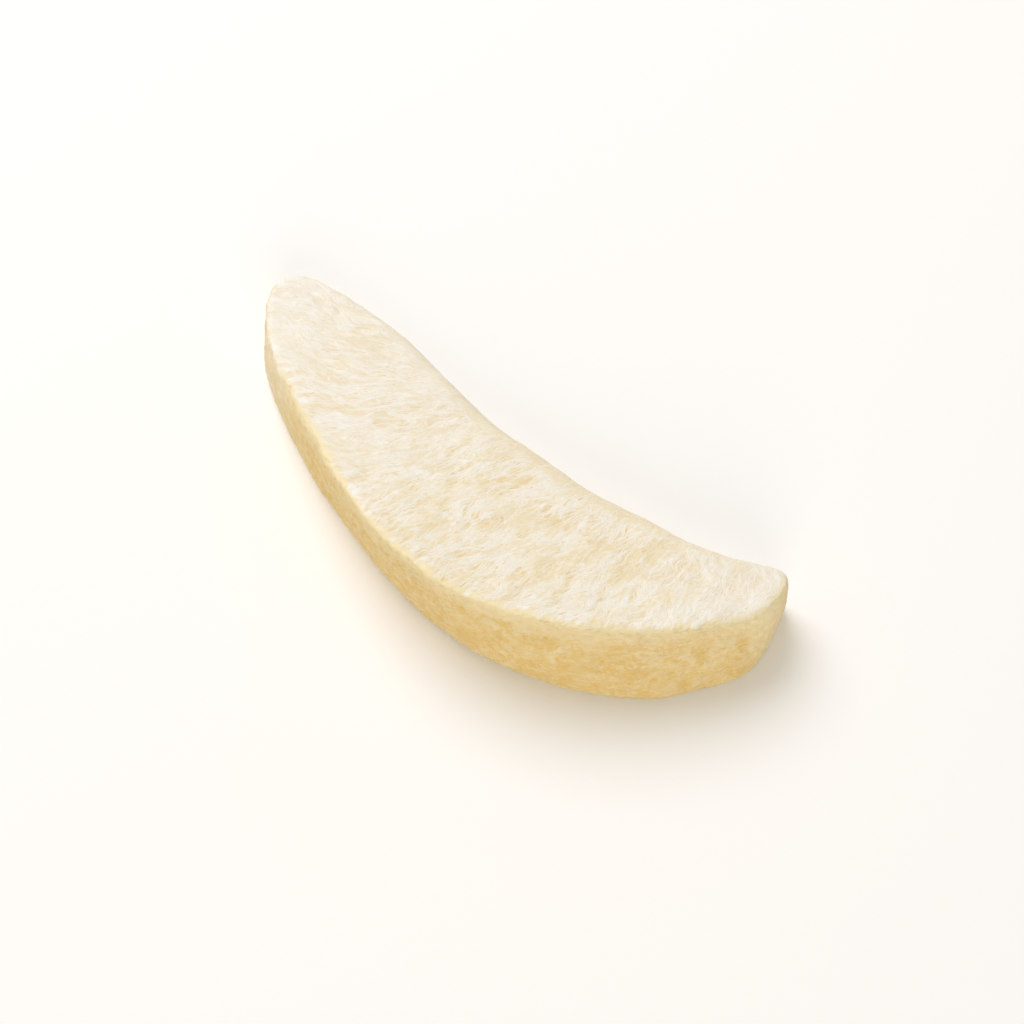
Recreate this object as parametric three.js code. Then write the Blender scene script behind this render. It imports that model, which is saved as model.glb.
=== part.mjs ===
// A freeze-dried pear slice: a thin wedge of a peeled, cored pear that lies on one of its two cut faces.
// Millimetres. X runs from the stem end to the blossom end, Y from the peeled side to the core side, Z up.
// The origin is on the surface that the slice rests on, below the middle of its box.
import * as THREE from 'three';
import { SimplexNoise } from 'three/addons/math/SimplexNoise.js';

// The upper cut face is a plane over the flat lower one: it climbs towards the peel, as a wedge does,
// and a little towards the blossom end.
const STEM_THICKNESS = 3.6;
const CLIMB_TO_PEEL = 0.26;
const CLIMB_TO_BLOSSOM = 0.06;

// The rim of the upper cut face, from the stem tip along the peeled side to the blossom tip and back
// along the core side: how far along the slice, how far out towards the peel, and the lean, which is
// how far the foot of the wall stands out beyond the rim.
const PEELED_SIDE = [
  { along: -0.7, out: 0.5, lean: 0.0 },
  { along: 0.6, out: 3.8, lean: 0.2 },
  { along: 4.9, out: 8.3, lean: 0.9 },
  { along: 13.0, out: 13.2, lean: 1.1 },
  { along: 22.0, out: 18.2, lean: -0.1 },
  { along: 31.0, out: 21.5, lean: -0.6 },
  { along: 39.5, out: 22.3, lean: -0.2 },
  { along: 48.5, out: 19.9, lean: 1.2 },
  { along: 56.5, out: 14.7, lean: 2.9 },
  { along: 61.6, out: 9.8, lean: 2.7 },
  { along: 64.5, out: 6.0, lean: 1.7 },
];
const CORE_SIDE = [
  { along: 65.4, out: 2.6, lean: 0.3 },
  { along: 64.2, out: -1.3, lean: 0.1 },
  { along: 60.6, out: -0.4, lean: 0.4 },
  { along: 56.5, out: 1.1, lean: 0.6 },
  { along: 47.0, out: 1.7, lean: 0.8 },
  { along: 41.0, out: 2.2, lean: 0.8 },
  { along: 35.5, out: 1.6, lean: 0.8 },
  { along: 29.5, out: 1.2, lean: 0.8 },
  { along: 24.0, out: 0.0, lean: 0.7 },
  { along: 17.0, out: -1.9, lean: 0.6 },
  { along: 8.0, out: -2.8, lean: 0.4 },
  { along: 0.9, out: -2.0, lean: 0.2 },
];

// The wall between the faces bulges on the peeled side and is scooped on the core side.
const PEEL_BULGE = 0.45;
const CORE_SCOOP = 0.35;

// Edge roundings. The rim is crisp beside the peel and softly bevelled beside the core.
const FOOT_ROUND = 0.9;
const PEEL_ROUND = 0.7;
const CORE_BEVEL_WIDTH = 2.4;
const CORE_BEVEL_DEPTH = 1.6;
const CORE_BEVEL_FROM = 2;
const CORE_BEVEL_TO = 62;
const CORE_BEVEL_FADE = 18;

// Each cut face closes on a midline, whose ends stay this share of the slice's length inside its tips.
const MIDLINE_INSET = 0.055;

// Relief of the dried flesh: broad swells, and furrows that run from the peel towards the fan centre.
const SWELL_HEIGHT = 0.14;
const SWELL_LENGTH = 9;
const FURROW_HEIGHT = 0.09;
const FURROW_LENGTH = 7;
const FURROW_WIDTH = 2.2;
const FAN_CENTRE = { along: 45, out: -28 };
const RELIEF_SEED = 41;

// Mesh resolution: stations round the outline, and rings over each stretch of the skin.
const STATIONS = 164;
const LOWER_FACE_RINGS = 3;
const FOOT_RINGS = 3;
const WALL_RINGS = 6;
const RIM_RINGS = 4;
const UPPER_FACE_RINGS = 7;
const DIVISIONS_PER_KEY_POINT = 40;

const FLESH_COLOUR = 0xf3e3bd;
const FLESH_ROUGHNESS = 0.95;

const KEY_POINTS = [...PEELED_SIDE, ...CORE_SIDE];
const HALF = STATIONS / 2;
const QUARTER_TURN = Math.PI / 2;
const UP = new THREE.Vector3(0, 0, 1);

/** The rim as a closed curve in along and out. Its third coordinate carries the lean. */
function rimCurve() {
  const points = KEY_POINTS.map((key) => new THREE.Vector3(key.along, key.out, key.lean));
  const curve = new THREE.CatmullRomCurve3(points, true, 'centripetal');
  curve.arcLengthDivisions = DIVISIONS_PER_KEY_POINT * KEY_POINTS.length;
  return curve;
}

const rim = rimCurve();

/** The share of the rim's length at which the peeled side ends, at the blossom tip. */
function blossomShare() {
  const lengths = rim.getLengths();
  const tip = DIVISIONS_PER_KEY_POINT * PEELED_SIDE.length;
  return lengths[tip] / lengths[lengths.length - 1];
}

const BLOSSOM_SHARE = blossomShare();

/** The rim's share for a place along the slice, 0 at the stem tip and 1 at the blossom tip. */
function rimShare(place, onPeel) {
  return onPeel ? place * BLOSSOM_SHARE : 1 - place * (1 - BLOSSOM_SHARE);
}

/** A point midway between the two sides, on the line where each cut face closes. */
function midlinePoint(place) {
  const inset = THREE.MathUtils.lerp(MIDLINE_INSET, 1 - MIDLINE_INSET, place);
  const peel = rim.getPointAt(rimShare(inset, true));
  const core = rim.getPointAt(rimShare(inset, false));
  return new THREE.Vector3((peel.x + core.x) / 2, (peel.y + core.y) / 2, 0);
}

/** The height of the upper cut face over a place in the plan. */
function faceHeight(point) {
  return STEM_THICKNESS + CLIMB_TO_BLOSSOM * point.x + CLIMB_TO_PEEL * point.y;
}

/** 1 on the core side between the ends of the bevel, fading to 0 at both tips. */
function bevelShare(along, onPeel) {
  if (onPeel) return 0;
  const stemFade = THREE.MathUtils.smoothstep(along, CORE_BEVEL_FROM, CORE_BEVEL_FROM + CORE_BEVEL_FADE);
  const blossomFade = THREE.MathUtils.smoothstep(along, CORE_BEVEL_TO - CORE_BEVEL_FADE, CORE_BEVEL_TO);
  return stemFade * (1 - blossomFade);
}

/** What the rings need to know about one station of the outline. */
function makeStation(index) {
  const onPeel = index <= HALF;
  const place = onPeel ? index / HALF : (STATIONS - index) / HALF;
  const share = rimShare(place, onPeel) % 1;
  const point = rim.getPointAt(share);
  const tangent = rim.getTangentAt(share);
  const outward = new THREE.Vector3(-tangent.y, tangent.x, 0).normalize();
  const middle = midlinePoint(place);
  const edge = new THREE.Vector3(point.x, point.y, 0);
  const inward = middle.clone().sub(edge).normalize();
  const bevel = bevelShare(point.x, onPeel);
  const sideways = Math.sin(Math.PI * place);
  return {
    edge,
    outward,
    inward,
    middle,
    lean: point.z,
    bulge: sideways * (onPeel ? PEEL_BULGE : -CORE_SCOOP),
    bevelWidth: THREE.MathUtils.lerp(PEEL_ROUND, CORE_BEVEL_WIDTH, bevel),
    bevelDepth: THREE.MathUtils.lerp(PEEL_ROUND, CORE_BEVEL_DEPTH, bevel),
  };
}

/** A point on the bare wall at a share of its height, moved inwards by a distance. */
function wallPoint(station, share, inset) {
  const stand = station.lean * (1 - share) + station.bulge * 4 * share * (1 - share);
  return station.edge
    .clone()
    .addScaledVector(station.outward, stand)
    .addScaledVector(station.inward, inset);
}

/** Foot rounding: turn is 0 where it meets the lower face and 1 where it meets the wall. */
function footPoint(station, turn) {
  const angle = turn * QUARTER_TURN;
  const inset = FOOT_ROUND * (1 - Math.sin(angle));
  const height = FOOT_ROUND * (1 - Math.cos(angle));
  const point = wallPoint(station, height / faceHeight(station.edge), inset);
  point.z = height;
  return point;
}

/** Wall between the two roundings, share 0 to 1. */
function sidePoint(station, share) {
  const top = faceHeight(station.edge);
  const height = THREE.MathUtils.lerp(FOOT_ROUND, top - station.bevelDepth, share);
  const point = wallPoint(station, height / top, 0);
  point.z = height;
  return point;
}

/** Rim rounding: turn is 0 where it leaves the wall and 1 where it meets the upper face. */
function rimPoint(station, turn) {
  const angle = turn * QUARTER_TURN;
  const inset = station.bevelWidth * (1 - Math.cos(angle));
  const drop = station.bevelDepth * (1 - Math.sin(angle));
  const point = wallPoint(station, 1 - drop / faceHeight(station.edge), inset);
  point.z = faceHeight(point) - drop;
  return point;
}

/** A point on the lower face, share 0 at its edge and 1 on the midline. */
function lowerFacePoint(station, share) {
  return footPoint(station, 0).lerp(station.middle, share);
}

/** A point on the upper face, share 0 at its edge and 1 on the midline. */
function upperFacePoint(station, share) {
  const point = rimPoint(station, 1).lerp(station.middle, share);
  point.z = faceHeight(point);
  return point;
}

/**
 * The rings of the skin, from beside the lower midline outwards, up the wall and in to the upper one.
 * The tilt of a ring is its surface's angle above the horizontal, as a share of a quarter turn.
 */
function makeRings() {
  const rings = [];
  for (let k = LOWER_FACE_RINGS - 1; k > 0; k--) {
    rings.push({ tilt: -1, place: (station) => lowerFacePoint(station, k / LOWER_FACE_RINGS) });
  }
  for (let k = 0; k < FOOT_RINGS; k++) {
    rings.push({ tilt: k / FOOT_RINGS - 1, place: (station) => footPoint(station, k / FOOT_RINGS) });
  }
  for (let k = 0; k <= WALL_RINGS; k++) {
    rings.push({ tilt: 0, place: (station) => sidePoint(station, k / WALL_RINGS) });
  }
  for (let k = 1; k <= RIM_RINGS; k++) {
    rings.push({ tilt: k / RIM_RINGS, place: (station) => rimPoint(station, k / RIM_RINGS) });
  }
  for (let k = 1; k < UPPER_FACE_RINGS; k++) {
    rings.push({ tilt: 1, place: (station) => upperFacePoint(station, k / UPPER_FACE_RINGS) });
  }
  return rings;
}

THREE.MathUtils.seededRandom(RELIEF_SEED);
const noise = new SimplexNoise({ random: () => THREE.MathUtils.seededRandom() });

/** How far the dried flesh stands out at a point: swells all over, and furrows on the cut face. */
function relief(point, faceShare) {
  const swell = noise.noise3d(point.x / SWELL_LENGTH, point.y / SWELL_LENGTH, point.z / SWELL_LENGTH);
  const across = point.x - FAN_CENTRE.along;
  const outwards = point.y - FAN_CENTRE.out;
  const radius = Math.hypot(across, outwards);
  const sweep = Math.atan2(across, outwards) * -FAN_CENTRE.out;
  const furrow = noise.noise(radius / FURROW_LENGTH, sweep / FURROW_WIDTH);
  return SWELL_HEIGHT * swell + FURROW_HEIGHT * faceShare * furrow;
}

/** Moves a point along its surface's direction. The lower face stays flat, so nothing goes down. */
function withRelief(point, outward, tilt) {
  const sideways = Math.cos(tilt * QUARTER_TURN);
  const upwards = Math.max(Math.sin(tilt * QUARTER_TURN), 0);
  const height = relief(point, upwards);
  return point.addScaledVector(outward, sideways * height).addScaledVector(UP, upwards * height);
}

/** The closed skin of the slice as an indexed geometry, facing out. */
function sliceGeometry() {
  const stations = Array.from({ length: STATIONS }, (_, index) => makeStation(index));
  const rings = makeRings();
  const positions = [];
  const faces = [];

  const ringStarts = rings.map((ring) => {
    const start = positions.length / 3;
    for (const station of stations) {
      const point = withRelief(ring.place(station), station.outward, ring.tilt);
      positions.push(point.x, -point.y, point.z);
    }
    return start;
  });
  const lowerMidline = positions.length / 3;
  const upperMidline = lowerMidline + HALF + 1;
  for (const station of stations.slice(0, HALF + 1)) {
    const point = lowerFacePoint(station, 1);
    positions.push(point.x, -point.y, point.z);
  }
  for (const station of stations.slice(0, HALF + 1)) {
    const point = withRelief(upperFacePoint(station, 1), station.outward, 1);
    positions.push(point.x, -point.y, point.z);
  }

  for (let r = 0; r + 1 < rings.length; r++) {
    for (let s = 0; s < STATIONS; s++) {
      const next = (s + 1) % STATIONS;
      const [low, high] = [ringStarts[r], ringStarts[r + 1]];
      faces.push(low + s, low + next, high + next);
      faces.push(low + s, high + next, high + s);
    }
  }
  const first = ringStarts[0];
  const last = ringStarts[rings.length - 1];
  for (let s = 0; s < STATIONS; s++) {
    const next = (s + 1) % STATIONS;
    const here = Math.min(s, STATIONS - s);
    const there = Math.min(s + 1, STATIONS - s - 1);
    faces.push(first + s, lowerMidline + here, lowerMidline + there);
    faces.push(first + s, lowerMidline + there, first + next);
    faces.push(last + s, upperMidline + there, upperMidline + here);
    faces.push(last + s, last + next, upperMidline + there);
  }

  const geometry = new THREE.BufferGeometry();
  geometry.setAttribute('position', new THREE.Float32BufferAttribute(positions, 3));
  geometry.setIndex(faces);
  geometry.computeBoundingBox();
  const centre = geometry.boundingBox.getCenter(new THREE.Vector3());
  geometry.translate(-centre.x, -centre.y, 0);
  geometry.computeVertexNormals();
  return geometry;
}

const flesh = new THREE.MeshStandardMaterial({
  color: FLESH_COLOUR,
  roughness: FLESH_ROUGHNESS,
  metalness: 0,
});

const slice = new THREE.Mesh(sliceGeometry(), flesh);
slice.name = 'pear_slice';

const model = new THREE.Group();
model.add(slice);

export default model;
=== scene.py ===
"""A freeze-dried pear slice on a pale floor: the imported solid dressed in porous, fibrous dried flesh."""

import itertools
import math

import bmesh
import bpy
import numpy as np
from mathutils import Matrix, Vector
from mathutils.bvhtree import BVHTree


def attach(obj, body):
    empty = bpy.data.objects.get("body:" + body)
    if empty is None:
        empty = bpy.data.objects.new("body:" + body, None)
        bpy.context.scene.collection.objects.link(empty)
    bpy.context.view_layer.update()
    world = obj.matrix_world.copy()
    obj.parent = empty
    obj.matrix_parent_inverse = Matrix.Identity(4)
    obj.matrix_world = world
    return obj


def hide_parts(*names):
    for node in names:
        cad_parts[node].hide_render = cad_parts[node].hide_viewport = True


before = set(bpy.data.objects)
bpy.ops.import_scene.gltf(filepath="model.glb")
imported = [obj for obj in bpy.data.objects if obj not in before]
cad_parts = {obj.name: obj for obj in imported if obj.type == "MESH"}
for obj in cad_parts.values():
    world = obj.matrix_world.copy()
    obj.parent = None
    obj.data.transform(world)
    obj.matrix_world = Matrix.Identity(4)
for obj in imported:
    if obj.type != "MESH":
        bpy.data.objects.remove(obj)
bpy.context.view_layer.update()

MM = 0.001
SEED = 4859
THREAD_SEED = SEED + 50

# The camera looks down on the slice from beyond the peeled side.
# The target is the point of the floor in the middle of the picture.
CAMERA_TARGET_MM = (2.79, 3.26, 0.0)
CAMERA_AZIMUTH_DEG = 36.83
CAMERA_ELEVATION_DEG = 61.0
CAMERA_DISTANCE_MM = 296.3
CAMERA_LENS_MM = 100.0
SENSOR_WIDTH_MM = 36.0
CAMERA_CLIP_M = (0.01, 20.0)

# The studio, in metres and watts. An azimuth is where the light comes from.
WORLD_COLOUR = (1.0, 0.94, 0.82, 1)
WORLD_STRENGTH = 0.47
KEY_LIGHT = dict(
    azimuth_deg=CAMERA_AZIMUTH_DEG + 210, elevation_deg=52,
    distance=0.9, size=0.7, power=5.2, colour=(1.0, 1.0, 1.05))
FILL_LIGHT = dict(
    azimuth_deg=CAMERA_AZIMUTH_DEG, elevation_deg=22,
    distance=0.9, size=0.6, power=2.45, colour=(1.0, 0.95, 0.87))
FLOOR_HALF_M = 1.5

# Lie of the flesh, in plan and in millimetres from the frame's origin. Fibres on the cut faces point to
# FAN_CENTRE, apart from a turn that goes by the place along the slice. Those on the peeled side run round
# PEEL_CENTRE, the middle of its arc.
FAN_CENTRE = np.array([12.3, 37.9])
FAN_RADIUS = 38.0
FAN_TURN_X = (-28.0, -20.0, -13.0, -6.0, 0.0, 6.0, 13.0, 25.0)
FAN_TURN_DEG = (-26.0, -20.0, -8.0, 4.0, 1.0, -8.0, -14.0, -17.0)
PEEL_CENTRE = np.array([3.3, 22.9])
PEEL_RADIUS = 35.0
BROAD_TURN_SIZE = 5.5
BROAD_TURN = 0.16
SMALL_TURN_SIZE = 1.1
SMALL_TURN = 0.30
CURL_SIZE = 1.7
CURL_TURN = 0.6
FLATTENED = (1, 1, 0.15)
LEAST_CURL = 0.25
BLOSSOM_CURL = 0.75
BLOSSOM_X = (14, 27)
STEM_CURL = 0.45
STEM_X = (-18, -28)

# Where the sides pale: places along the slice at the stem, and round the peel at the blossom end.
PALE_STEM_X = (-15, -28)
PALE_STEM = 0.45
PALE_END_AROUND = (33.4, 35.2)
PALE_END = 0.5

# Skin: the size of its voxels, and the slope above which it is made twice as fine.
WELD_MM = 0.001
VOXEL_MM = 0.28
SMOOTH_ROUNDS = 8
UPWARD = 0.25
RIDGE_BIN_MM = 1.0

# Walk along the grain over which noise is drawn out.
WALK_STEP_MM = 0.24
WALK_STEPS = 8

# Relief of the cut faces, in millimetres. A pair is the size of a noise across the grain and its reach along
# it.
LONG_FIBRES = (0.78, 1.9)
SHORT_FIBRES = (0.45, 1.5)
HAIRS = (0.29, 1.0)
FOLDS = (1.7, 1.9)
TUFTS = (0.9, 1.4)
SLOTS = (0.7, 0.9)
SLOT_RANGE = (2.1, 3.0)
LUMP_SIZE = 3.1
MAT_HEIGHT = 0.018
FOLD_HEIGHT = 0.024
TUFT_HEIGHT = 0.012
LUMP_HEIGHT = 0.034

# Relief of the sides and of the band along the core side, in millimetres. A triple is a size along, across
# and into the flesh.
SIDE_STREAKS = (2.6, 0.42, 3.0)
BAND_STREAKS = (4.5, 0.34, 0.6)
DENT_SIZE = 1.5
SWELL_SIZE = 4.0
PORE_SIZE = 0.62
PORE_RANGE = (2.0, 2.9)
NIB_SIZE = 0.62
BAND_DENT_SIZE = 1.8
SIDE_STREAK_HEIGHT = 0.014
DENT_HEIGHT = 0.034
NIB_HEIGHT = 0.03
SWELL_HEIGHT = 0.05
PORE_DEPTH = 0.16
BAND_CREST_HEIGHT = 0.028
BAND_DENT_HEIGHT = 0.02

# How far the lower face is drawn in, so that nothing reaches below the floor.
FOOT_SINK_MM = 0.06

# Slopes, as the vertical part of the direction out of the skin, and how far it faces away from PEEL_CENTRE.
# A pair is where something starts and where it is full.
FACE_SLOPE = (0.6, 0.85)
FACE_SLOPE_WAVER = 0.08
FOOT_SLOPE = (0.45, 0.8)
BAND_FACING = (0.12, 0.4)
BAND_SLOPE = (0.99, 0.93)
RIDGE_FACING = 0.3
RIDGE_SLOPE = (0.35, 0.75)

# Threads of each kind: how many are drawn, the ranges of their lengths and widths in millimetres, how far
# they stray from the grain in radians, their knots, and the lowest slope that they may lie on.
THREAD_KINDS = {
    "pear_slice_threads": dict(
        count=2500, lengths=(1.6, 4.8), widths=(0.18, 0.34), stray=0.14, knots=12, lowest=0.8),
    "pear_slice_hairs": dict(
        count=3600, lengths=(0.8, 2.4), widths=(0.12, 0.2), stray=0.25, knots=7, lowest=0.78),
    "pear_slice_wisps": dict(
        count=5600, lengths=(0.5, 1.6), widths=(0.09, 0.16), stray=0.35, knots=6, lowest=-0.8),
    "pear_slice_streaks": dict(
        count=1500, lengths=(2.0, 5.0), widths=(0.1, 0.2), stray=0.06, knots=9, lowest=-0.8),
}
THREADED_SLOPE = (0.6, 0.9)
PEEL_FACING = 0.25
PEEL_SLOPE = 0.7
CORE_FACING = -0.2
CORE_SLOPE = -0.7
DEPTH_LIMIT = 1.05
RAISED_POWER = 3
PEEL_SWIRL_RAD = 0.6
CORE_SWIRL_RAD = 0.12
SWIRL_SIZE = 2.0
START_SCATTER_MM = 0.1
SWAY_RAD = 0.22
SWAY_RAD_PER_MM = 2.1
THREAD_ROOT_MM = 0.03
END_SINK_MM = 0.07
THREAD_RISE = 0.24
THREAD_TAPER = 0.7
FLANK_LEAN = 0.5
SHORTEST_SPAN_MM = 0.03
LEAST_STRAIGHT = 0.6
LEAST_LEVEL = 0.85
PALE_TONES = 0.7

# Colours, linear.
PALE_FLESH = (0.935, 0.87, 0.725)
CREAM_FLESH = (0.93, 0.84, 0.62)
# The next three colours are partly or wholly painted shade: in the hollows of the mat, along the finest
# lines and at the feet of threads, and in small hollows between the fibres.
DEEP_FLESH = (0.825, 0.65, 0.35)
SHADE_FLESH = (0.85, 0.69, 0.385)
OCHRE_SHADE = (0.82, 0.62, 0.30)
YELLOW_FLESH = (0.88, 0.745, 0.47)
THREAD_FLESH = (0.96, 0.938, 0.885)
RIDGE_FLESH = (0.935, 0.81, 0.51)
CORE_THREAD = (0.93, 0.855, 0.67)
SIDE_THREAD = (0.905, 0.765, 0.475)
PALE_SIDE = (0.90, 0.745, 0.45)
MIDDLE_SIDE = (0.85, 0.65, 0.32)
# The next three colours are partly or wholly painted shade: in the low places and towards the foot of the
# sides, along their finest lines and at the feet of their wisps, and in their pores and pits.
DEEP_SIDE = (0.81, 0.56, 0.195)
SHADE_SIDE = (0.78, 0.575, 0.25)
PORE_SHADE = (0.68, 0.42, 0.15)
FLOOR_WHITE = (0.985, 0.985, 0.985, 1)
FLOOR_ROUGHNESS = 0.8

# Finish of the flesh: the noises are counted in lumps to the metre, the bump is in metres.
SHEEN_PATCHES = 330.0
SHEEN_ROUGHNESS = (0.82, 0.95)
CRUMBS = 7000.0
CRUMB_SHARE = 0.6
BUMP_M = 0.000018
SPECULAR_LEVEL = 0.2


# ---------------------------------------------------------------------------------------------- noise

class Noise:
    """Smooth gradient noise with a spread of about 1, from a seeded table."""

    SPREAD = 0.29

    def __init__(self, seed):
        rng = np.random.default_rng(seed)
        self.order = np.concatenate([rng.permutation(256)] * 2)
        directions = rng.normal(size=(256, 3))
        self.gradients = directions / np.linalg.norm(directions, axis=1, keepdims=True)

    def at(self, points):
        cell = np.floor(points).astype(np.int64)
        part = points - cell
        fade = part**3 * (part * (part * 6 - 15) + 10)
        total = np.zeros(len(points))
        for corner in itertools.product((0, 1), repeat=3):
            x, y, z = ((cell + corner) & 255).T
            gradient = self.gradients[self.order[self.order[self.order[x] + y] + z]]
            share = np.where(np.array(corner, bool), fade, 1 - fade).prod(axis=1)
            total += share * (gradient * (part - corner)).sum(axis=1)
        return total / self.SPREAD

    def sized(self, places, size, shift=0.0):
        """Noise of one size. A shift sets it apart from other noise of the same table."""
        return self.at(places / size + shift)

    def layered(self, points, layers):
        """A sum of layers, each half as wide and half as high as the one before."""
        return sum(self.at(points * 2.03**layer) / 2**layer for layer in range(layers))


def smoothstep(low, high, value):
    share = np.clip((value - low) / (high - low), 0, 1)
    return share * share * (3 - 2 * share)


def standard(values):
    return (values - values.mean()) / values.std()


# ---------------------------------------------------------------------------------------------- skin mesh

def apply_modifier(piece, kind, **settings):
    modifier = piece.modifiers.new(kind.lower(), kind)
    for name, value in settings.items():
        setattr(modifier, name, value)
    with bpy.context.temp_override(object=piece, active_object=piece):
        bpy.ops.object.modifier_apply(modifier=modifier.name)


def skin_from_node(node, name):
    """An even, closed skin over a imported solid, twice as fine on top as elsewhere."""
    mesh = node.data.copy()
    mesh.name = name
    mesh.materials.clear()
    welded = bmesh.new()
    welded.from_mesh(mesh)
    bmesh.ops.remove_doubles(welded, verts=welded.verts, dist=WELD_MM * MM)
    welded.to_mesh(mesh)
    welded.free()
    piece = bpy.data.objects.new(name, mesh)
    bpy.context.scene.collection.objects.link(piece)
    bpy.context.view_layer.objects.active = piece
    apply_modifier(piece, "SUBSURF", levels=1)
    apply_modifier(piece, "REMESH", mode="VOXEL", voxel_size=VOXEL_MM * MM, adaptivity=0.0)
    apply_modifier(piece, "SMOOTH", factor=0.5, iterations=SMOOTH_ROUNDS)
    mesh = piece.data
    fine = bmesh.new()
    fine.from_mesh(mesh)
    fine.normal_update()
    upward = {edge for face in fine.faces if face.normal.z > UPWARD for edge in face.edges}
    edges = [edge for edge in fine.edges if edge in upward]
    bmesh.ops.subdivide_edges(fine, edges=edges, cuts=1, use_grid_fill=True)
    fine.to_mesh(mesh)
    fine.free()
    return piece


def vertex_places(mesh):
    values = np.zeros(len(mesh.vertices) * 3, np.float32)
    mesh.vertices.foreach_get("co", values)
    return values.reshape(-1, 3).astype(float) / MM


def vertex_normals(mesh):
    values = np.zeros(len(mesh.vertices) * 3, np.float32)
    mesh.vertex_normals.foreach_get("vector", values)
    return values.reshape(-1, 3).astype(float)


def store(mesh, name, values):
    """Keep one number or three for each vertex, for the material to read."""
    kind, field = ("FLOAT", "value") if values.ndim == 1 else ("FLOAT_VECTOR", "vector")
    attribute = mesh.attributes.new(name, kind, "POINT")
    attribute.data.foreach_set(field, values.astype(np.float32).ravel())


# ---------------------------------------------------------------------------------------------- grain

turn_noise = Noise(SEED)
fibre_noises = [Noise(SEED + 1 + layer) for layer in range(3)]
lump_noise = Noise(SEED + 11)
pore_noise = Noise(SEED + 12)
streak_noise = Noise(SEED + 13)
curl_noise = Noise(SEED + 14)
fold_noise = Noise(SEED + 15)
tuft_noise = Noise(SEED + 16)


def curliness(places):
    """How tangled the fibres are: most at the blossom end, some at the stem."""
    blossom = BLOSSOM_CURL * smoothstep(*BLOSSOM_X, places[:, 0])
    stem = STEM_CURL * smoothstep(*STEM_X, places[:, 0])
    return LEAST_CURL + blossom + stem


def fan_turn(places):
    """How far the fibres of the cut faces turn from the line to FAN_CENTRE, in radians."""
    return np.radians(np.interp(places[:, 0], FAN_TURN_X, FAN_TURN_DEG))


def fibre_heading(places):
    """The way the fibres of the cut faces run in plan, as unit vectors."""
    away = places[:, :2] - FAN_CENTRE
    turn = np.arctan2(away[:, 1], away[:, 0]) + fan_turn(places)
    turn += BROAD_TURN * turn_noise.sized(places, BROAD_TURN_SIZE)
    turn += SMALL_TURN * turn_noise.sized(places, SMALL_TURN_SIZE, shift=31.7)
    turn += CURL_TURN * curliness(places) * turn_noise.sized(places, CURL_SIZE, shift=63.1)
    return np.stack([np.cos(turn), np.sin(turn)], axis=1)


def fibre_walk(places):
    """Places met on a walk up and down the grain from each of the given ones, the start in the middle."""
    walk = [places]
    for sense in (-1, 1):
        walker = places.copy()
        for _ in range(WALK_STEPS):
            walker = walker.copy()
            walker[:, :2] += sense * WALK_STEP_MM * fibre_heading(walker)
            if sense < 0:
                walk.insert(0, walker)
            else:
                walk.append(walker)
    return walk


def combed(noise, walk, size, reach):
    """Noise drawn out along the grain: its mean over the part of a walk within reach, with a spread of 1."""
    steps = min(WALK_STEPS, max(1, round(reach / WALK_STEP_MM)))
    total = 0
    for step in range(-steps, steps + 1):
        share = math.cos(0.5 * math.pi * step / (steps + 1)) ** 2
        total = total + share * noise.at(walk[WALK_STEPS + step] / size)
    return standard(total)


def crest(values):
    """Rounded ridges along the zero lines of a noise, from about 0 in the hollows to 1 on the ridges."""
    return np.exp(-1.6 * np.abs(values))


# ---------------------------------------------------------------------------------------------- relief

def cut_face_relief(places):
    """Height of a cut face's mat of fibres and the share of it that lies deep, place by place."""
    flat = places * FLATTENED
    walk = fibre_walk(flat)
    long_fibres = crest(combed(fibre_noises[0], walk, *LONG_FIBRES))
    short_fibres = crest(combed(fibre_noises[1], walk, *SHORT_FIBRES))
    hairs = crest(combed(fibre_noises[2], walk, *HAIRS))
    mat = standard(1.0 * long_fibres + 0.8 * short_fibres + 0.45 * hairs)
    lumps = lump_noise.layered(flat / LUMP_SIZE, 2)
    folds = combed(fold_noise, walk, *FOLDS)
    tufts = combed(tuft_noise, walk, *TUFTS)
    slots = smoothstep(*SLOT_RANGE, combed(pore_noise, walk, *SLOTS))
    height = MAT_HEIGHT * mat + FOLD_HEIGHT * folds + TUFT_HEIGHT * tufts + LUMP_HEIGHT * lumps
    # What lies deep is painted tan by the material: partly the flesh's own colour, partly painted shade in
    # the hollows.
    deep = 0.44 - 0.26 * mat - 0.2 * folds - 0.24 * tufts + 0.5 * slots
    return height, np.clip(deep, 0, 1)


def side_relief(places, along):
    """Height of the smoother sides, with shallow dents, faint streaks and small pores."""
    warp = 0.5 * curl_noise.sized(places, 1.6)
    streaks = streak_noise.at(np.stack([along, places[:, 2] + warp, places[:, 1]], axis=1) / SIDE_STREAKS)
    dents = lump_noise.layered(places / DENT_SIZE + 7.7, 2)
    swell = lump_noise.sized(places, SWELL_SIZE, shift=19.3)
    pores = smoothstep(*PORE_RANGE, pore_noise.sized(places, PORE_SIZE, shift=3.3))
    nibs = lump_noise.sized(places, NIB_SIZE, shift=71.7)
    height = SIDE_STREAK_HEIGHT * streaks + DENT_HEIGHT * dents + NIB_HEIGHT * nibs
    height = height + SWELL_HEIGHT * swell - PORE_DEPTH * pores
    # What lies low is painted darker by the material: partly the flesh's own tan, partly painted shade in
    # the dents and pores.
    deep = 0.4 - 0.15 * streaks - 0.12 * dents - 0.15 * nibs + 0.6 * pores
    return height, np.clip(deep, 0, 1)


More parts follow.
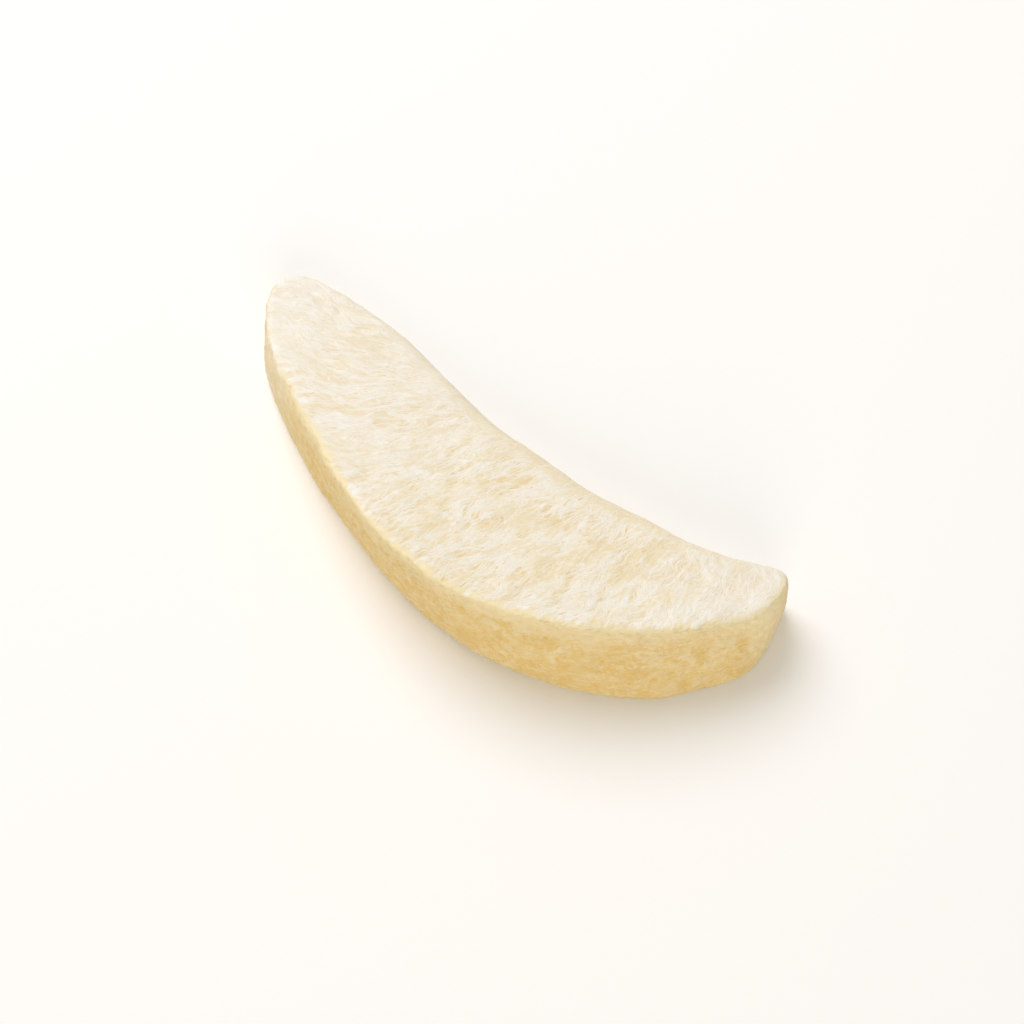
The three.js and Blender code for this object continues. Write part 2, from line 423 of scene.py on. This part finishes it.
def band_relief(places):
    """Height of the smooth band along the core side, drawn out lengthwise."""
    warp = 0.25 * curl_noise.sized(places, 3.0, shift=5.5)
    warped = np.stack([places[:, 0], places[:, 1] + warp, places[:, 2]], axis=1)
    streaks = streak_noise.at(warped / BAND_STREAKS)
    dents = lump_noise.sized(places, BAND_DENT_SIZE, shift=27.1)
    height = BAND_CREST_HEIGHT * crest(streaks) + BAND_DENT_HEIGHT * dents
    deep = 0.5 * smoothstep(0.3, 1.8, np.abs(streaks))
    return height, deep


def round_the_peel(outward):
    """Distance along the peeled side's arc, from its middle."""
    return np.arctan2(outward[:, 0], -outward[:, 1]) * PEEL_RADIUS


def paled_sides(places, around):
    """How far the sides have paled towards the stem and the blossom end, from 0 to 1."""
    stem = smoothstep(*PALE_STEM_X, places[:, 0])
    end = smoothstep(*PALE_END_AROUND, around + 0.5 * lump_noise.sized(places, 1.3, shift=41.9))
    return 1 - (1 - PALE_STEM * stem) * (1 - PALE_END * end)


def store_grain(mesh, places):
    """Keep measures along and across the fibres of the cut faces and round the peeled side."""
    away = places[:, :2] - FAN_CENTRE
    waver = 0.2 * curl_noise.sized(places, 2.2, shift=9.9)
    radius = np.hypot(away[:, 0], away[:, 1])
    sweep = np.arctan2(away[:, 0], -away[:, 1]) * FAN_RADIUS
    sweep = sweep - np.tan(fan_turn(places)) * (radius - FAN_RADIUS)
    around = round_the_peel(places[:, :2] - PEEL_CENTRE)
    store(mesh, "paled", paled_sides(places, around))
    store(mesh, "face_grain", np.stack([radius, sweep + waver, places[:, 2]], axis=1))
    store(mesh, "side_grain", np.stack([around, places[:, 2] + waver, radius], axis=1))


def ridge_value(values, on_ridge, around):
    """What a value comes to on the upper edge of the peeled side, abreast of each place."""
    reach = np.abs(around).max() + RIDGE_BIN_MM
    edges = np.arange(-reach, reach + RIDGE_BIN_MM, RIDGE_BIN_MM)
    bins = np.digitize(around[on_ridge], edges)
    found = np.unique(bins)
    levels = [np.median(values[on_ridge][bins == one]) for one in found]
    return np.interp(around, edges[found - 1] + 0.5 * RIDGE_BIN_MM, levels)


def dress(piece):
    """Raise the relief on the skin, and keep what the material needs to know of it."""
    mesh = piece.data
    places = vertex_places(mesh)
    normals = vertex_normals(mesh)
    slope = normals[:, 2]

    outward = places[:, :2] - PEEL_CENTRE
    radius = np.linalg.norm(outward, axis=1)
    outward /= radius[:, None]
    facing_out = (normals[:, :2] * outward).sum(axis=1)
    around = round_the_peel(outward)

    upper = smoothstep(*FACE_SLOPE, slope + FACE_SLOPE_WAVER * lump_noise.sized(places, 0.7, shift=53.3))
    lower = smoothstep(*FOOT_SLOPE, -slope)
    band = smoothstep(*BAND_FACING, -facing_out) * (1 - lower) * smoothstep(*BAND_SLOPE, slope)
    face = upper * (1 - band) + lower
    side = np.clip(1 - face - band, 0, 1)

    height = np.zeros(len(places))
    deep = np.zeros(len(places))
    for share, (part_height, part_deep) in (
        (face, cut_face_relief(places)),
        (side, side_relief(places, around)),
        (band, band_relief(places)),
    ):
        height += share * part_height
        deep += share * part_deep

    height -= lower * (FOOT_SINK_MM + np.maximum(height - FOOT_SINK_MM, 0))
    on_ridge = (facing_out > RIDGE_FACING) & (slope > RIDGE_SLOPE[0]) & (slope < RIDGE_SLOPE[1])
    below = ridge_value(places[:, 2], on_ridge, around) - places[:, 2]
    inward = ridge_value(radius, on_ridge, around) - radius
    moved = places + normals * height[:, None]
    moved[:, 2] = np.maximum(moved[:, 2], 0.0)
    mesh.vertices.foreach_set("co", (moved * MM).astype(np.float32).ravel())

    store(mesh, "deep", np.clip(deep, 0, 1))
    store(mesh, "below", below)
    store(mesh, "inward", inward)
    store(mesh, "side", side * (1 - paled_sides(places, around)))
    store(mesh, "band", band)
    store_grain(mesh, places)
    mesh.shade_smooth()
    mesh.update()


# ---------------------------------------------------------------------------------------------- threads

class Surface:
    """The dressed skin, asked for its nearest point and its direction out."""

    def __init__(self, piece):
        mesh = piece.data
        corners = vertex_places(mesh)
        centres = np.zeros(len(mesh.polygons) * 3, np.float32)
        normals = np.zeros(len(mesh.polygons) * 3, np.float32)
        first_corners = np.zeros(len(mesh.polygons), np.int32)
        corner_vertices = np.zeros(len(mesh.loops), np.int32)
        deep = np.zeros(len(mesh.vertices), np.float32)
        self.areas = np.zeros(len(mesh.polygons), np.float32)
        mesh.polygons.foreach_get("center", centres)
        mesh.polygons.foreach_get("normal", normals)
        mesh.polygons.foreach_get("loop_start", first_corners)
        mesh.loops.foreach_get("vertex_index", corner_vertices)
        mesh.attributes["deep"].data.foreach_get("value", deep)
        mesh.polygons.foreach_get("area", self.areas)
        self.centres = centres.reshape(-1, 3) / MM
        self.normals = normals.reshape(-1, 3)
        self.deep = deep[corner_vertices[first_corners]]
        self.tree = BVHTree.FromPolygons(corners.tolist(), [tuple(face.vertices) for face in mesh.polygons])

    def nearest(self, places):
        found = [self.tree.find_nearest(place) for place in places.tolist()]
        return np.array([hit[0] for hit in found]), np.array([hit[1] for hit in found])


def unit(vectors):
    return vectors / np.linalg.norm(vectors, axis=-1, keepdims=True)


def laid_along(directions, normals):
    return unit(directions - normals * (directions * normals).sum(axis=-1, keepdims=True))


def face_heading(places, normals):
    """The way a thread runs on a cut face: along the fibres."""
    flat = fibre_heading(places * FLATTENED)
    return laid_along(np.column_stack([flat, np.zeros(len(places))]), normals)


def level_heading(places, normals, swirl):
    """The way round a side, level but for swirls of up to about so many radians."""
    level = laid_along(np.column_stack([-normals[:, 1], normals[:, 0], np.zeros(len(places))]), normals)
    turn = (swirl * curl_noise.sized(places, SWIRL_SIZE, shift=3.7))[:, None]
    return level * np.cos(turn) + np.cross(normals, level) * np.sin(turn)


def side_heading(places, normals):
    """The way a wisp runs on the peeled side."""
    return level_heading(places, normals, PEEL_SWIRL_RAD)


def core_heading(places, normals):
    """The way a streak runs on the core side."""
    return level_heading(places, normals, CORE_SWIRL_RAD)


def thread_lines(surface, weights, heading_at, kind, rng):
    """Middle lines of threads on the skin, with the directions out of it: arrays of (thread, knot, 3)."""
    count, knots = kind["count"], kind["knots"]
    chosen = rng.choice(len(weights), count, p=weights / weights.sum())
    starts = surface.centres[chosen] + rng.uniform(-START_SCATTER_MM, START_SCATTER_MM, (count, 3))
    step = rng.uniform(*kind["lengths"], count) / (knots - 1)
    bias = rng.normal(0, kind["stray"], count)
    phase = rng.uniform(0, 2 * math.pi, count)
    places, normals = surface.nearest(starts)
    lines, outs = [places], [normals]
    for knot in range(1, knots):
        turn = (bias + SWAY_RAD * np.sin(phase + SWAY_RAD_PER_MM * knot * step))[:, None]
        ahead = heading_at(places, normals)
        heading = ahead * np.cos(turn) + np.cross(normals, ahead) * np.sin(turn)
        places, normals = surface.nearest(places + heading * step[:, None])
        lines.append(places)
        outs.append(normals)
    return np.stack(lines, axis=1), np.stack(outs, axis=1)


def unkinked(lines, outs):
    """Which threads bend gently all along."""
    spans = np.diff(lines, axis=1)
    lengths = np.linalg.norm(spans, axis=2)
    bends = (spans[:, 1:] * spans[:, :-1]).sum(axis=2) / (lengths[:, 1:] * lengths[:, :-1] + 1e-9)
    tilts = (outs[:, 1:] * outs[:, :-1]).sum(axis=2)
    long_enough = (lengths > SHORTEST_SPAN_MM).all(axis=1)
    return long_enough & (bends > LEAST_STRAIGHT).all(axis=1) & (tilts > LEAST_LEVEL).all(axis=1)


def threads_piece(name, lines, outs, widths, tones):
    """Thin three-sided threads, half sunk in the skin, with both ends tucked in."""
    count, knots, _ = lines.shape
    along = unit(np.gradient(lines, axis=1))
    across = unit(np.cross(outs, along))
    swell = np.sin(np.pi * (np.arange(knots) + 0.5) / knots)[None, :, None] ** THREAD_TAPER
    half = 0.5 * widths[:, None, None] * swell
    base = lines - outs * (THREAD_ROOT_MM + END_SINK_MM * (1 - swell))
    top = base + outs * (THREAD_ROOT_MM + THREAD_RISE * widths[:, None, None] * swell)
    rings = np.stack([top, base + across * half, base - across * half], axis=2)
    first = np.arange(count)[:, None, None] * knots * 3 + np.arange(knots - 1)[None, :, None] * 3
    side = np.arange(3)[None, None, :]
    following = (side + 1) % 3
    quads = np.stack([first + side, first + side + 3, first + following + 3, first + following], axis=-1)
    quads = quads.reshape(-1, 4)
    start = np.arange(count)[:, None] * knots * 3
    caps = np.concatenate([start + [0, 1, 2], start + (knots - 1) * 3 + [2, 1, 0]])
    mesh = bpy.data.meshes.new(name)
    corners = rings.reshape(-1, 3)
    mesh.from_pydata((corners * MM).tolist(), [], quads.tolist() + caps.tolist())
    store_grain(mesh, corners)
    # 0 on the top edge, 1 on the two lower edges: the material paints shade towards the foot.
    store(mesh, "foot_shade", np.tile([0.0, 1.0, 1.0], count * knots))
    store(mesh, "tone", np.repeat(tones, knots * 3))
    mesh.shade_smooth()
    calm = unit(outs + outs.mean(axis=1, keepdims=True))
    flanks = [unit(calm + FLANK_LEAN * sense * across) for sense in (1, -1)]
    shown = np.stack([calm, *flanks], axis=2).reshape(-1, 3)
    mesh.normals_split_custom_set_from_vertices(shown.tolist())
    piece = bpy.data.objects.new(name, mesh)
    bpy.context.scene.collection.objects.link(piece)
    return piece


# ---------------------------------------------------------------------------------------------- materials

class Nodes:
    """Short ways of adding the nodes of one material."""

    def __init__(self, name):
        self.material = bpy.data.materials.new(name)
        self.material.use_nodes = True
        self.tree = self.material.node_tree
        self.shader = self.tree.nodes["Principled BSDF"]

    def put(self, socket, value):
        if isinstance(value, bpy.types.NodeSocket):
            self.tree.links.new(value, socket)
        elif isinstance(value, tuple) and len(value) == 3 and len(socket.default_value) == 4:
            socket.default_value = (*value, 1)
        else:
            socket.default_value = value

    def attribute(self, name, output="Fac"):
        node = self.tree.nodes.new("ShaderNodeAttribute")
        node.attribute_name = name
        return node.outputs[output]

    def place(self):
        return self.tree.nodes.new("ShaderNodeTexCoord").outputs["Object"]

    def along(self):
        """Place along the slice, from the stem to the blossom end, in metres."""
        return self.parts(self.place())["X"]

    def parts(self, vector):
        node = self.tree.nodes.new("ShaderNodeSeparateXYZ")
        self.put(node.inputs["Vector"], vector)
        return node.outputs

    def noise(self, vector, scale, detail, roughness=0.5, distortion=0.0):
        node = self.tree.nodes.new("ShaderNodeTexNoise")
        self.put(node.inputs["Vector"], vector)
        node.inputs["Scale"].default_value = scale
        node.inputs["Detail"].default_value = detail
        node.inputs["Roughness"].default_value = roughness
        node.inputs["Distortion"].default_value = distortion
        return node.outputs["Fac"]

    def grain_noise(self, grain, lumps_per_mm, detail, roughness=0.5, distortion=0.0):
        """Noise with its own fineness along, across and into a grain."""
        node = self.tree.nodes.new("ShaderNodeVectorMath")
        node.operation = "MULTIPLY"
        self.put(node.inputs[0], grain)
        node.inputs[1].default_value = lumps_per_mm
        return self.noise(node.outputs["Vector"], 1.0, detail, roughness, distortion)

    def threads(self, grain, lumps_per_mm, waver):
        """Thin wavy lines of 1 along the first axis of a grain, over 0."""
        across = self.grain_noise(grain, lumps_per_mm, detail=2.0, distortion=waver)
        distance = self.math("ABSOLUTE", self.math("SUBTRACT", across, 0.5), 0.0)
        return self.ranged(distance, 0.07, 0.0)

    def ranged(self, value, low, high, to_low=0.0, to_high=1.0):
        node = self.tree.nodes.new("ShaderNodeMapRange")
        node.interpolation_type = "SMOOTHSTEP"
        self.put(node.inputs["Value"], value)
        for name, number in (("From Min", low), ("From Max", high), ("To Min", to_low), ("To Max", to_high)):
            node.inputs[name].default_value = number
        return node.outputs["Result"]

    def math(self, operation, first, second):
        node = self.tree.nodes.new("ShaderNodeMath")
        node.operation = operation
        self.put(node.inputs[0], first)
        self.put(node.inputs[1], second)
        return node.outputs["Value"]

    def total(self, first, *others):
        for other in others:
            first = self.math("ADD", first, other)
        return first

    def product(self, first, second):
        return self.math("MULTIPLY", first, second)

    def rest_of(self, share):
        return self.math("SUBTRACT", 1.0, share)

    def mixed(self, share, first, second):
        """A mix of two colours."""
        node = self.tree.nodes.new("ShaderNodeMix")
        node.data_type = "RGBA"
        self.put(node.inputs["Factor"], share)
        self.put(node.inputs["A"], first)
        self.put(node.inputs["B"], second)
        return node.outputs["Result"]

    def tinted(self, colour, tint, where, most):
        """A colour with a tint over it, at most so much of it, where a value between 0 and 1 is high."""
        return self.mixed(self.product(where, most), colour, tint)

    def blended(self, share, first, second):
        """A mix of two numbers."""
        node = self.tree.nodes.new("ShaderNodeMix")
        self.put(node.inputs["Factor"], share)
        self.put(node.inputs["A"], first)
        self.put(node.inputs["B"], second)
        return node.outputs["Result"]

    def bump(self, height, distance):
        node = self.tree.nodes.new("ShaderNodeBump")
        self.put(node.inputs["Height"], height)
        node.inputs["Distance"].default_value = distance
        node.inputs["Strength"].default_value = 1.0
        return node.outputs["Normal"]


def yellow_patches(nodes, face_grain):
    """Soft yellow patches drawn out along the fibres, most near the core in the middle, from 0 to 1."""
    across, along = itertools.islice(nodes.parts(face_grain), 2)
    middle = nodes.product(nodes.ranged(along, -18.0, -9.0), nodes.ranged(along, 18.0, 6.0))
    inside = nodes.product(nodes.ranged(across, 46.0, 37.0), nodes.ranged(across, 32.0, 35.5))
    near_core = nodes.product(inside, middle)
    blots = nodes.grain_noise(face_grain, (0.42, 1.4, 1.2), detail=4.0, roughness=0.68, distortion=0.3)
    broad = nodes.grain_noise(face_grain, (0.16, 0.34, 0.3), detail=2.0)
    amount = nodes.total(blots, nodes.product(broad, 0.7), nodes.product(near_core, 0.08))
    return nodes.ranged(amount, 0.86, 1.05)


def ochre_hollow_shade(nodes, face_grain):
    """Painted shade of small hollows between the fibres, longer than wide, from 0 to 1."""
    spots = nodes.grain_noise(face_grain, (1.0, 3.2, 1.5), detail=2.0, distortion=0.3)
    return nodes.ranged(spots, 0.63, 0.74)


def side_patches(nodes, side_grain):
    """Soft darker patches of the peeled side, from 0 to 1."""
    wide = nodes.grain_noise(side_grain, (0.3, 0.32, 0.2), detail=2.0)
    broad = nodes.grain_noise(side_grain, (0.8, 0.75, 0.5), detail=3.0, roughness=0.6)
    small = nodes.grain_noise(side_grain, (2.0, 1.7, 1.0), detail=3.0, roughness=0.6, distortion=0.4)
    return nodes.ranged(nodes.total(broad, small, nodes.product(wide, 0.8)), 1.34, 1.6)


def side_pit_shade(nodes, side_grain):
    """Painted shade of small pits of the peeled side, from 0 to 1."""
    spots = nodes.grain_noise(side_grain, (1.3, 2.0, 1.0), detail=3.0, roughness=0.6, distortion=0.3)
    return nodes.ranged(spots, 0.64, 0.76)


def fine_lines(nodes, grain):
    """The finest streaks along a grain, from 0 to 1."""
    return nodes.grain_noise(grain, (1.2, 5.5, 3.0), detail=2.0, roughness=0.6, distortion=0.2)


def paled_ends(nodes):
    """How far the cut faces have paled towards the stem and the blossom end, from 0 to 1."""
    along = nodes.along()
    return nodes.total(
        nodes.ranged(along, 0.003, -0.011, to_high=0.5),
        nodes.ranged(along, -0.02, -0.03, to_high=0.4),
        nodes.ranged(along, 0.018, 0.03, to_high=0.7))


def finish_flesh(nodes, colour, relief):
    """Join a colour and a fine relief to the shader, with a crumb and a dull, uneven sheen."""
    place = nodes.place()
    patches = nodes.noise(place, SHEEN_PATCHES, detail=2.0)
    crumb = nodes.noise(place, CRUMBS, detail=2.0, roughness=0.6)
    height = nodes.total(relief, nodes.product(crumb, CRUMB_SHARE))
    nodes.put(nodes.shader.inputs["Base Color"], colour)
    nodes.put(nodes.shader.inputs["Roughness"], nodes.ranged(patches, 0.3, 0.7, *SHEEN_ROUGHNESS))
    nodes.put(nodes.shader.inputs["Normal"], nodes.bump(height, BUMP_M))
    nodes.shader.inputs["Specular IOR Level"].default_value = SPECULAR_LEVEL
    return nodes.material


def flesh_material():
    """Pale fibrous flesh on the cut faces, yellower and smoother on the sides."""
    nodes = Nodes("dried_flesh")
    deep = nodes.attribute("deep")
    below = nodes.attribute("below")
    inward = nodes.attribute("inward")
    side = nodes.attribute("side")
    face_grain = nodes.attribute("face_grain", "Vector")
    side_grain = nodes.attribute("side_grain", "Vector")

    face_threads = nodes.threads(face_grain, (0.5, 2.4, 1.0), waver=0.25)
    face_hairs = nodes.threads(face_grain, (0.9, 5.0, 1.0), waver=0.25)
    side_hairs = nodes.threads(side_grain, (0.9, 2.6, 0.8), waver=0.8)
    fine = nodes.blended(side, fine_lines(nodes, face_grain), fine_lines(nodes, side_grain))
    fine_shade = nodes.ranged(fine, 0.48, 0.7)
    ragged = nodes.grain_noise(face_grain, (0.5, 1.1, 1.0), detail=4.0, roughness=0.65)
    ragged = nodes.product(ragged, 3.0)

    rim = nodes.ranged(nodes.total(inward, ragged), 2.4, 1.5, to_high=0.95)
    past_stem = nodes.ranged(nodes.along(), -0.026, -0.019)
    unpaled = nodes.rest_of(paled_ends(nodes))
    # Where the mat lies deep the cut face turns tan: partly the flesh's own colour, partly painted warm
    # shade in the hollows.
    cut = nodes.mixed(nodes.ranged(deep, 0.0, 0.3), THREAD_FLESH, PALE_FLESH)
    cut = nodes.mixed(nodes.ranged(deep, 0.15, 0.95), cut, DEEP_FLESH)
    # Painted shade along the finest lines between the fibres.
    cut = nodes.tinted(cut, SHADE_FLESH, fine_shade, most=0.35)
    cut = nodes.tinted(cut, YELLOW_FLESH, yellow_patches(nodes, face_grain), most=0.9)
    cut = nodes.tinted(cut, YELLOW_FLESH, nodes.attribute("band"), most=0.8)
    cut = nodes.tinted(cut, THREAD_FLESH, face_threads, most=0.5)
    cut = nodes.tinted(cut, THREAD_FLESH, face_hairs, most=0.3)
    cut = nodes.tinted(cut, THREAD_FLESH, paled_ends(nodes), most=0.65)
    cut = nodes.mixed(nodes.product(rim, past_stem), cut, RIDGE_FLESH)
    # Painted shade in small hollows between the fibres, less towards the pale ends.
    cut = nodes.tinted(cut, OCHRE_SHADE, nodes.product(ochre_hollow_shade(nodes, face_grain), unpaled), most=0.8)

    under_ridge = nodes.total(below, ragged)
    # The sides darken where they lie low: partly the flesh's own tan, partly painted shade in the dents and
    # pores.
    skin = nodes.mixed(nodes.ranged(deep, 0.0, 0.45), PALE_SIDE, MIDDLE_SIDE)
    skin = nodes.mixed(nodes.ranged(deep, 0.35, 0.9), skin, DEEP_SIDE)
    skin = nodes.tinted(skin, DEEP_SIDE, side_patches(nodes, side_grain), most=0.9)
    # Painted shade along the finest lines of the sides.
    skin = nodes.tinted(skin, SHADE_SIDE, fine_shade, most=0.4)
    skin = nodes.tinted(skin, RIDGE_FLESH, side_hairs, most=0.3)
    # Painted shade in the deepest dents and pores of the sides.
    skin = nodes.mixed(nodes.ranged(deep, 0.7, 1.0, to_high=0.8), skin, PORE_SHADE)
    # Painted shade of small pits, in colour alone.
    skin = nodes.tinted(skin, PORE_SHADE, side_pit_shade(nodes, side_grain), most=0.65)
    # Painted shade: the side darkens towards its foot, further below the ridge.
    skin = nodes.mixed(nodes.ranged(below, 2.0, 9.0, to_high=0.4), skin, DEEP_SIDE)
    skin = nodes.mixed(nodes.ranged(under_ridge, 3.9, 2.0, to_high=0.85), skin, PALE_SIDE)
    skin = nodes.mixed(nodes.ranged(under_ridge, 2.2, 1.3, to_high=0.8), skin, RIDGE_FLESH)

    strands = nodes.total(nodes.blended(side, face_threads, side_hairs), nodes.product(face_hairs, 0.5))
    return finish_flesh(nodes, nodes.mixed(side, cut, skin), nodes.math("SUBTRACT", strands, fine))


def thread_material(name, grain, pale, dark, foot_shade, patches, painted_pits, on_cut_face):
    """The flesh of threads, with the patches of what they lie on, painted shade of its small hollows and
    pits, and painted shade at the foot and along the finest lines.
    """
    patches_of, patch_colour = patches
    painted_pits_of, pit_shade_colour = painted_pits
    nodes = Nodes(name)
    grain_vector = nodes.attribute(grain, "Vector")
    fine = fine_lines(nodes, grain_vector)
    pit_shade_share = painted_pits_of(nodes, grain_vector)
    colour = nodes.mixed(nodes.attribute("tone"), dark, pale)
    colour = nodes.tinted(colour, patch_colour, patches_of(nodes, grain_vector), most=0.65)
    if on_cut_face:
        colour = nodes.tinted(colour, pale, paled_ends(nodes), most=0.75)
        pit_shade_share = nodes.product(pit_shade_share, nodes.rest_of(paled_ends(nodes)))
    else:
        colour = nodes.mixed(nodes.attribute("paled"), colour, CREAM_FLESH)
    # Painted shade along the finest lines of the thread.
    colour = nodes.mixed(nodes.ranged(fine, 0.5, 0.75, to_high=0.3), colour, foot_shade)
    # Painted shade towards the foot of the thread, where it sinks into the skin.
    colour = nodes.mixed(nodes.ranged(nodes.attribute("foot_shade"), 0.3, 0.62, to_high=0.8), colour, foot_shade)
    # Painted shade of the small hollows and pits of what the thread lies on.
    colour = nodes.tinted(colour, pit_shade_colour, pit_shade_share, most=0.7)
    return finish_flesh(nodes, colour, nodes.rest_of(fine))


def floor_material():
    nodes = Nodes("pale_floor")
    nodes.shader.inputs["Base Color"].default_value = FLOOR_WHITE
    nodes.shader.inputs["Roughness"].default_value = FLOOR_ROUGHNESS
    return nodes.material


# ---------------------------------------------------------------------------------------------- studio

def back_direction(azimuth_deg, elevation_deg):
    """From what is looked at towards the viewer."""
    azimuth, elevation = math.radians(azimuth_deg), math.radians(elevation_deg)
    flat = math.cos(elevation)
    return Vector((math.sin(azimuth) * flat, -math.cos(azimuth) * flat, math.sin(elevation)))


def place_looking(item, target, back, distance):
    """Put a camera or a light at a distance from its target and turn it towards that."""
    bpy.context.scene.collection.objects.link(item)
    item.location = target + back * distance
    item.rotation_mode = "QUATERNION"
    item.rotation_quaternion = (-back).to_track_quat("-Z", "Y")


def make_camera():
    data = bpy.data.cameras.new("camera")
    data.lens = CAMERA_LENS_MM
    data.sensor_width = SENSOR_WIDTH_MM
    data.clip_start, data.clip_end = CAMERA_CLIP_M
    camera = bpy.data.objects.new("camera", data)
    back = back_direction(CAMERA_AZIMUTH_DEG, CAMERA_ELEVATION_DEG)
    place_looking(camera, Vector(CAMERA_TARGET_MM) * MM, back, CAMERA_DISTANCE_MM * MM)
    bpy.context.scene.camera = camera


def make_floor():
    half = FLOOR_HALF_M
    corners = [(-half, -half, 0), (half, -half, 0), (half, half, 0), (-half, half, 0)]
    mesh = bpy.data.meshes.new("floor")
    mesh.from_pydata(corners, [], [(0, 1, 2, 3)])
    floor = bpy.data.objects.new("floor", mesh)
    bpy.context.scene.collection.objects.link(floor)
    mesh.materials.append(floor_material())


def area_light(name, azimuth_deg, elevation_deg, distance, size, power, colour):
    data = bpy.data.lights.new(name, "AREA")
    data.shape = "DISK"
    data.size = size
    data.energy = power
    data.color = colour
    light = bpy.data.objects.new(name, data)
    place_looking(light, Vector(), back_direction(azimuth_deg, elevation_deg), distance)


def make_studio():
    scene = bpy.context.scene
    scene.view_settings.view_transform = "Standard"
    scene.view_settings.look = "None"
    world = bpy.data.worlds.new("studio")
    world.use_nodes = True
    background = world.node_tree.nodes["Background"]
    background.inputs["Color"].default_value = WORLD_COLOUR
    background.inputs["Strength"].default_value = WORLD_STRENGTH
    scene.world = world
    area_light("key", **KEY_LIGHT)
    area_light("fill", **FILL_LIGHT)


# ---------------------------------------------------------------------------------------------- the slice

def add_piece(piece, material):
    piece.data.materials.append(material)
    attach(piece, "root")
    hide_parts("pear_slice")


def add_threads(skin):
    """Lay threads on the dressed skin, most on what is raised."""
    surface = Surface(skin)
    rng = np.random.default_rng(THREAD_SEED)
    outward = unit(surface.centres[:, :2] - PEEL_CENTRE)
    facing_out = (surface.normals[:, :2] * outward).sum(axis=1)
    slope = surface.normals[:, 2]
    raised = (DEPTH_LIMIT - surface.deep) ** RAISED_POWER
    on_face = surface.areas * smoothstep(*THREADED_SLOPE, slope) * raised
    on_side = surface.areas * (facing_out > PEEL_FACING) * (np.abs(slope) < PEEL_SLOPE) * raised
    on_core = surface.areas * (facing_out < CORE_FACING) * (slope > CORE_SLOPE)

    face_threads = thread_material(
        "face_threads", "face_grain", pale=THREAD_FLESH, dark=PALE_FLESH, foot_shade=SHADE_FLESH,
        patches=(yellow_patches, YELLOW_FLESH), painted_pits=(ochre_hollow_shade, OCHRE_SHADE), on_cut_face=True)
    side_threads = thread_material(
        "side_threads", "side_grain", pale=SIDE_THREAD, dark=PALE_SIDE, foot_shade=SHADE_SIDE,
        patches=(side_patches, DEEP_SIDE), painted_pits=(side_pit_shade, PORE_SHADE), on_cut_face=False)
    core_threads = thread_material(
        "core_threads", "face_grain", pale=CORE_THREAD, dark=CREAM_FLESH, foot_shade=YELLOW_FLESH,
        patches=(yellow_patches, YELLOW_FLESH), painted_pits=(ochre_hollow_shade, OCHRE_SHADE), on_cut_face=True)

    for name, weights, heading_at, material in (
        ("pear_slice_threads", on_face, face_heading, face_threads),
        ("pear_slice_hairs", on_face, face_heading, face_threads),
        ("pear_slice_wisps", on_side, side_heading, side_threads),
        ("pear_slice_streaks", on_core, core_heading, core_threads),
    ):
        kind = THREAD_KINDS[name]
        lines, outs = thread_lines(surface, weights, heading_at, kind, rng)
        kept = (outs[:, :, 2] > kind["lowest"]).all(axis=1) & unkinked(lines, outs)
        widths = rng.uniform(*kind["widths"], kind["count"])
        tones = rng.uniform(0, 1, kind["count"]) ** PALE_TONES
        add_piece(threads_piece(name, lines[kept], outs[kept], widths[kept], tones[kept]), material)


make_camera()
slice_skin = skin_from_node(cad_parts["pear_slice"], "pear_slice_flesh")
dress(slice_skin)
add_piece(slice_skin, flesh_material())
add_threads(slice_skin)
make_floor()
make_studio()
